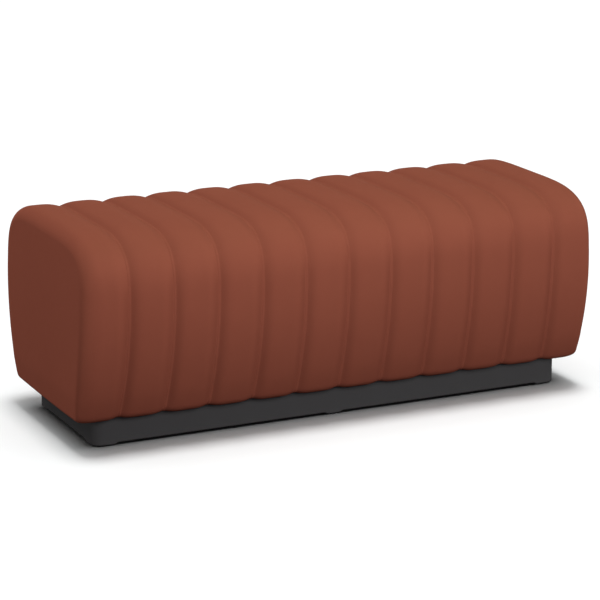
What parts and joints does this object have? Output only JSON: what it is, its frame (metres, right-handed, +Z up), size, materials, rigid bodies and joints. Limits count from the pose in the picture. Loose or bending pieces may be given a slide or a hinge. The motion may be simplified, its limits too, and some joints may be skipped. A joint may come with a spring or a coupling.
{
  "type": "upholstered bench",
  "caption": "Long channelled upholstered bench with rolled ends and soft shoulders on a recessed dark plinth; a free-standing seat for shops, cafes and lobbies.",
  "frame": {"origin": "on the floor, under the middle of the bench", "axes": "+X along the bench's length, the front faces -Y, +Z up"},
  "size_m": [1.21, 0.4982, 0.4596],
  "materials": {
    "cover": "matte",
    "foam": "matte",
    "board": "matte",
    "plinth": "satin",
    "steel": "satin",
    "nylon": "matte"
  },
  "bodies": {
    "root": {"channel_01": "cover", "channel_02": "cover", "channel_03": "cover", "channel_04": "cover", "channel_05": "cover", "channel_06": "cover", "channel_07": "cover", "channel_08": "cover", "channel_09": "cover", "channel_10": "cover", "channel_11": "cover", "channel_12": "cover", "seat_foam": "foam", "front_foam": "foam", "back_foam": "foam", "left_foam": "foam", "right_foam": "foam", "seat_deck": "board", "front_panel": "board", "back_panel": "board", "front_top_rail": "board", "back_top_rail": "board", "rib_1": "board", "rib_2": "board", "rib_3": "board", "rib_4": "board", "rib_5": "board", "glue_blocks": "board", "base_board": "board", "plinth_front_board": "plinth", "plinth_back_board": "plinth", "plinth_left_board": "plinth", "plinth_right_board": "plinth", "plinth_corner_front_left": "plinth", "plinth_corner_front_right": "plinth", "plinth_corner_back_left": "plinth", "plinth_corner_back_right": "plinth", "corner_blocks": "board", "front_cleat": "board", "back_cleat": "board", "cross_rail_left": "board", "cross_rail_middle": "board", "cross_rail_right": "board", "plinth_bolts": "steel", "tee_nuts": "steel", "glides": "nylon"}
  },
  "joints": []
}
